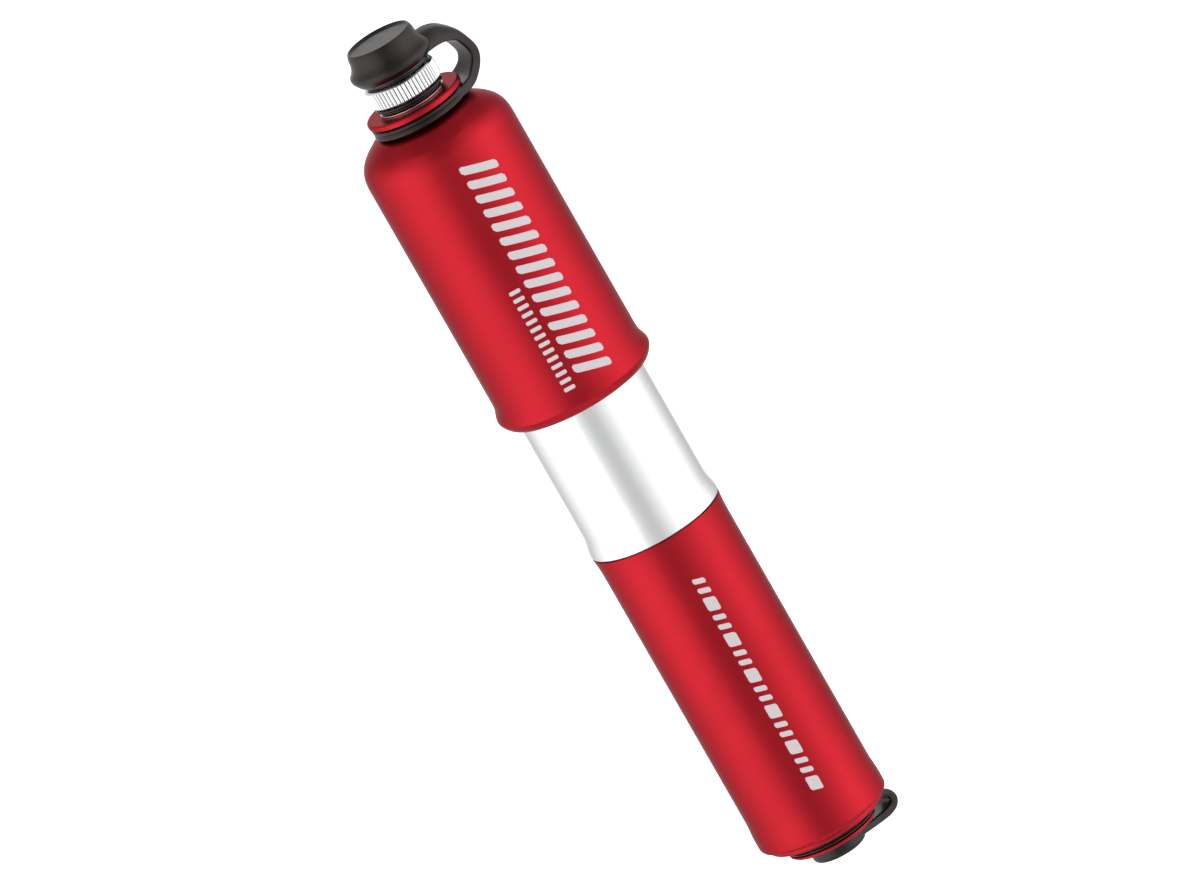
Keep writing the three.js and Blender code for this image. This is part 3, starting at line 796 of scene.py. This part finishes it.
def build_valve_spring(turns=2.5, wire=0.25, steps_per_turn=32, sides=14):
    """The valve's spring, a helix of round wire."""
    low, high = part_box("valve_spring")
    coil = high.x / MM - wire
    foot, top = low.z / MM + wire, high.z / MM - wire
    steps = int(turns * steps_per_turn)
    bm = bmesh.new()
    rings = []
    for i in range(steps + 1):
        angle = 2 * math.pi * i / steps_per_turn
        outward = Vector((math.cos(angle), math.sin(angle), 0))
        middle = outward * coil + Vector((0, 0, foot + (top - foot) * i / steps))
        ring = []
        for k in range(sides):
            around = 2 * math.pi * k / sides
            place = middle + (outward * math.cos(around) + Vector((0, 0, math.sin(around)))) * wire
            ring.append(bm.verts.new(place * MM))
        rings.append(ring)
    skin(bm, rings)
    piece = new_piece("valve_spring_fine", bm, MATERIALS["spring_steel"])
    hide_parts("valve_spring")
    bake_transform(piece)


build_valve_spring()


# ----------------------------------------------------------------------------------------------------------
# Printed marks: a generic pattern of slanting bars
# ----------------------------------------------------------------------------------------------------------

CAMERA_AZIMUTH = -24.0  # degrees; 0 looks along +Y
FACING = math.radians(CAMERA_AZIMUTH - 90)  # the angle about Z of the side that faces the camera
INK_THICKNESS = 0.03
INK_CORNER = 0.4
INK_SHARP = 30  # degrees


def ink_bar(bm, girth, centre, width, foot, height, slant, columns=16, rows=10):
    """A bar of ink on a turned surface, with rounded corners.

    girth(z) is the surface's radius. width runs around it, and the bar's foot and head rise by slant.
    """
    corner = min(INK_CORNER, width / 4, height / 3)
    middle = girth(foot + height / 2)
    grid = []
    for i in range(columns + 1):
        share = i / columns
        from_end = min(share, 1 - share) * width
        trim = corner - math.sqrt(max(0.0, corner**2 - max(0.0, corner - from_end) ** 2))
        low = foot + slant * share + trim
        high = foot + height + slant * share - trim
        angle = centre + (share - 0.5) * width / middle
        heights = [low + (high - low) * k / rows for k in range(rows + 1)]
        outer = [(girth(z) + INK_THICKNESS, z) for z in heights]
        inner = [(girth(z) - INK_THICKNESS, z) for z in reversed(heights)]
        ring = [(r * math.cos(angle) * MM, r * math.sin(angle) * MM, z * MM) for r, z in outer + inner]
        grid.append([bm.verts.new(place) for place in ring])
    count = len(grid[0])
    for left, right in zip(grid, grid[1:]):
        for k in range(count):
            j = (k + 1) % count
            bm.faces.new((left[k], right[k], right[j], left[j]))
    bm.faces.new(grid[0])
    bm.faces.new(list(reversed(grid[-1])))


def ink_piece(name, node, bars):
    """One piece of ink on a node, made of bars given as (offset, width, foot, height, slant)."""
    outline = [p for p in outline_of(node)[0] if p.x > 0]
    low, high = node_span(node)
    table = {}

    def girth(z):
        key = round(z, 2)
        if key not in table:
            table[key] = radius_on(outline, min(high - 0.05, max(low + 0.05, z)))
        return table[key]

    bm = bmesh.new()
    for offset, width, foot, height, slant in bars:
        ink_bar(bm, girth, FACING + offset / girth(foot), width, foot, height, slant)
    bmesh.ops.recalc_face_normals(bm, faces=bm.faces)
    piece = new_piece(name, bm, INK, sharp_degrees=INK_SHARP)
    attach(piece, BODY_OF[node])


def stacked(offset, width, slant, first, heights, gap):
    """Bars (offset, width, foot, height, slant) stacked upwards from the height of the first foot."""
    bars = []
    for height in heights:
        bars.append((offset, width, first, height, slant))
        first += height + gap
    return bars


def handle_marks():
    """A tall column of slanting bars beside a ladder of fine dashes."""
    low = node_span("handle_shell")[0]
    bars = stacked(offset=4.7, width=7.4, slant=-2.6, first=low + 7.4, heights=[1.75] * 15, gap=1.4)
    dashes = stacked(offset=-1.3, width=2.3, slant=0.0, first=low + 5.0, heights=[0.8] * 14, gap=0.85)
    ink_piece("handle_marks", "handle_shell", bars + dashes)


def sleeve_marks():
    """A row of small slanting bars on the grip sleeve, a long one and two short ones in turn."""
    low = node_span("grip_sleeve")[0]
    bars = stacked(
        offset=1.8, width=2.4, slant=-0.8, first=low + 9.8, heights=[2.9, 1.1, 1.1] * 6, gap=1.0
    )
    ink_piece("sleeve_marks", "grip_sleeve", bars)


handle_marks()
sleeve_marks()


# ----------------------------------------------------------------------------------------------------------
# Camera
# ----------------------------------------------------------------------------------------------------------

CAMERA_ELEVATION = 16.0
CAMERA_ROLL = 29.8  # degrees; the pump's top leans left
AIM_HEIGHT = 92.7  # on the pump's axis, above its lower end
AIM_LEFT = 1.505
VIEW_WIDTH = 225.6  # at the pump
LENS = 700.0
SENSOR = 36.0
CLIP_NEAR, CLIP_FAR = 1.0, 100.0  # metres


def build_camera():
    azimuth, elevation, roll = (
        math.radians(x) for x in (CAMERA_AZIMUTH, CAMERA_ELEVATION, CAMERA_ROLL)
    )
    level = Vector((math.sin(azimuth), -math.cos(azimuth), 0))
    back = level * math.cos(elevation) + Vector((0, 0, math.sin(elevation)))
    side = Vector((math.cos(azimuth), math.sin(azimuth), 0))
    upward = back.cross(side)
    right = side * math.cos(roll) - upward * math.sin(roll)
    up = upward * math.cos(roll) + side * math.sin(roll)
    aim = Vector((0, 0, AIM_HEIGHT * MM)) - side * AIM_LEFT * MM
    distance = VIEW_WIDTH * MM * LENS / SENSOR
    place = aim + back * distance
    data = bpy.data.cameras.new("camera")
    data.lens = LENS
    data.sensor_width = SENSOR
    data.clip_start, data.clip_end = CLIP_NEAR, CLIP_FAR
    camera = bpy.data.objects.new("camera", data)
    columns = (right, up, back)
    camera.matrix_world = Matrix(
        [[column[i] for column in columns] + [place[i]] for i in range(3)] + [[0, 0, 0, 1]]
    )
    bpy.context.scene.collection.objects.link(camera)
    bpy.context.scene.camera = camera


build_camera()


# ----------------------------------------------------------------------------------------------------------
# Studio: pale floor, light tent and soft lights
# ----------------------------------------------------------------------------------------------------------

# Lengths in this section are in metres.
FLOOR_DROP = 0.30
FLOOR_HALF = 12.0
FLOOR_GLOW = 0.3
WORLD_LIGHT = 0.95
TENT_RADIUS = 0.55
TENT_TOP = 1.2
TENT_SEGMENTS = 96
SOFT_LIGHTS = [  # name, degrees from the camera's side, elevation in degrees, power in watts
    ("left_softbox", -60, 35, 14.0), ("right_softbox", 60, 35, 14.0), ("back_softbox", 180, 50, 10.0),
]
SOFT_LIGHT_DISTANCE, SOFT_LIGHT_SIZE = 1.4, 0.9

# Brightness of the tent's wall by direction, in degrees from the camera's side, positive to its right.
TENT_LIGHT = [
    (-180, 0.8), (-146, 0.62), (-125, 0.88), (-105, 1.15), (-85, 1.5), (-65, 1.7), (-45, 1.5),
    (-33, 1.2), (-24, 0.84), (-12, 0.62), (0, 0.59), (9, 0.7), (22, 0.93), (35, 1.15), (50, 1.5),
    (68, 1.8), (85, 1.5), (105, 1.1), (125, 0.75), (146, 0.55), (180, 0.8),
]
# The wall fades to this share of its brightness between these heights.
TENT_DIM, TENT_DIM_FROM, TENT_DIM_TO = 0.62, 0.25, 0.75
TENT_ENDS = 0.42  # brightness of the tent's floor and ceiling
TENT_PEAK = 2.0


def set_object(name, bm):
    """An object of the studio, from a bmesh."""
    mesh = bpy.data.meshes.new(name)
    bm.to_mesh(mesh)
    bm.free()
    made = bpy.data.objects.new(name, mesh)
    bpy.context.scene.collection.objects.link(made)
    return made


def build_floor():
    """A pale floor, well below the pump, which hangs in its bracket."""
    bm = bmesh.new()
    corners = [(-1, -1), (1, -1), (1, 1), (-1, 1)]
    z = cad_low.z - FLOOR_DROP
    bm.faces.new([bm.verts.new((x * FLOOR_HALF, y * FLOOR_HALF, z)) for x, y in corners])
    floor = set_object("floor", bm)
    shader = Shader("floor_paper", (0.93, 0.93, 0.93), 0.0, 0.9)
    shader.principled.inputs["Emission Color"].default_value = (1.0, 1.0, 1.0, 1.0)
    shader.principled.inputs["Emission Strength"].default_value = FLOOR_GLOW
    floor.data.materials.append(shader.material)


def glowing(name):
    """A new material with an emission shader: (material, nodes, links, the shader)."""
    material = bpy.data.materials.new(name)
    material.use_nodes = True
    nodes, links = material.node_tree.nodes, material.node_tree.links
    nodes.clear()
    glow = nodes.new("ShaderNodeEmission")
    output = nodes.new("ShaderNodeOutputMaterial")
    links.new(glow.outputs["Emission"], output.inputs["Surface"])
    return material, nodes, links, glow


def tent_end():
    """Even light from the tent's floor and ceiling."""
    material, _, _, glow = glowing("tent_end")
    glow.inputs["Color"].default_value = (TENT_ENDS, TENT_ENDS, TENT_ENDS, 1.0)
    return material


def tent_wall():
    """Light that varies around the wall and fades towards its top."""
    material, nodes, links, glow = glowing("tent_wall")
    place = nodes.new("ShaderNodeTexCoord")
    around = nodes.new("ShaderNodeTexGradient")
    around.gradient_type = "RADIAL"
    ramp = nodes.new("ShaderNodeValToRGB")
    stops = ramp.color_ramp.elements
    while len(stops) > 1:
        stops.remove(stops[-1])
    for i, (direction, light) in enumerate(TENT_LIGHT):
        position = 0.5 + direction / 360
        stop = stops[0] if i == 0 else stops.new(position)
        stop.position = position
        share = light / TENT_PEAK
        stop.color = (share, share, share, 1.0)
    split = nodes.new("ShaderNodeSeparateXYZ")
    fade = nodes.new("ShaderNodeMapRange")
    fade.interpolation_type = "SMOOTHSTEP"
    fade.inputs["From Min"].default_value = TENT_DIM_FROM
    fade.inputs["From Max"].default_value = TENT_DIM_TO
    fade.inputs["To Min"].default_value = TENT_PEAK
    fade.inputs["To Max"].default_value = TENT_PEAK * TENT_DIM
    links.new(place.outputs["Object"], around.inputs["Vector"])
    links.new(around.outputs["Fac"], ramp.inputs["Fac"])
    links.new(ramp.outputs["Color"], glow.inputs["Color"])
    links.new(place.outputs["Object"], split.inputs["Vector"])
    links.new(split.outputs["Z"], fade.inputs["Value"])
    links.new(fade.outputs["Result"], glow.inputs["Strength"])
    return material


def build_tent():
    """A white tent around the pump, seen only in reflections, bright on both sides and grey in front."""
    bm = bmesh.new()
    rings = []
    for z in (cad_low.z - FLOOR_DROP, TENT_TOP):
        ring = []
        for k in range(TENT_SEGMENTS):
            angle = 2 * math.pi * k / TENT_SEGMENTS
            ring.append(bm.verts.new((TENT_RADIUS * math.cos(angle), TENT_RADIUS * math.sin(angle), z)))
        rings.append(ring)
    for k in range(TENT_SEGMENTS):
        j = (k + 1) % TENT_SEGMENTS
        bm.faces.new((rings[0][j], rings[0][k], rings[1][k], rings[1][j]))
    for end in (bm.faces.new(rings[0]), bm.faces.new(list(reversed(rings[1])))):
        end.material_index = 1
    tent = set_object("light_tent", bm)
    tent.rotation_euler = (0, 0, FACING)
    tent.data.materials.append(tent_wall())
    tent.data.materials.append(tent_end())
    for ray in ("camera", "diffuse", "transmission", "volume_scatter", "shadow"):
        setattr(tent, "visible_" + ray, False)


def soft_light(name, direction, elevation, power):
    """A large soft light aimed at the pump's middle; direction is in degrees from the camera's side."""
    angle = FACING + math.radians(direction)
    rise = math.radians(elevation)
    middle = Vector((0, 0, (cad_low.z + cad_high.z) / 2))
    offset = Vector((math.cos(angle) * math.cos(rise), math.sin(angle) * math.cos(rise), math.sin(rise)))
    data = bpy.data.lights.new(name, "AREA")
    data.shape = "SQUARE"
    data.size = SOFT_LIGHT_SIZE
    data.energy = power
    light = bpy.data.objects.new(name, data)
    light.location = middle + offset * SOFT_LIGHT_DISTANCE
    light.rotation_mode = "QUATERNION"
    light.rotation_quaternion = (-offset).to_track_quat("-Z", "Y")
    light.visible_camera = False
    light.visible_glossy = False
    bpy.context.scene.collection.objects.link(light)


def build_world():
    """Even white light from everywhere, which is also the backdrop above the floor's edge."""
    world = bpy.data.worlds.new("studio")
    bpy.context.scene.world = world
    world.use_nodes = True
    background = world.node_tree.nodes["Background"]
    background.inputs["Color"].default_value = (1.0, 1.0, 1.0, 1.0)
    background.inputs["Strength"].default_value = WORLD_LIGHT


build_floor()
build_tent()
build_world()
for soft in SOFT_LIGHTS:
    soft_light(*soft)
bpy.context.scene.view_settings.view_transform = "Standard"
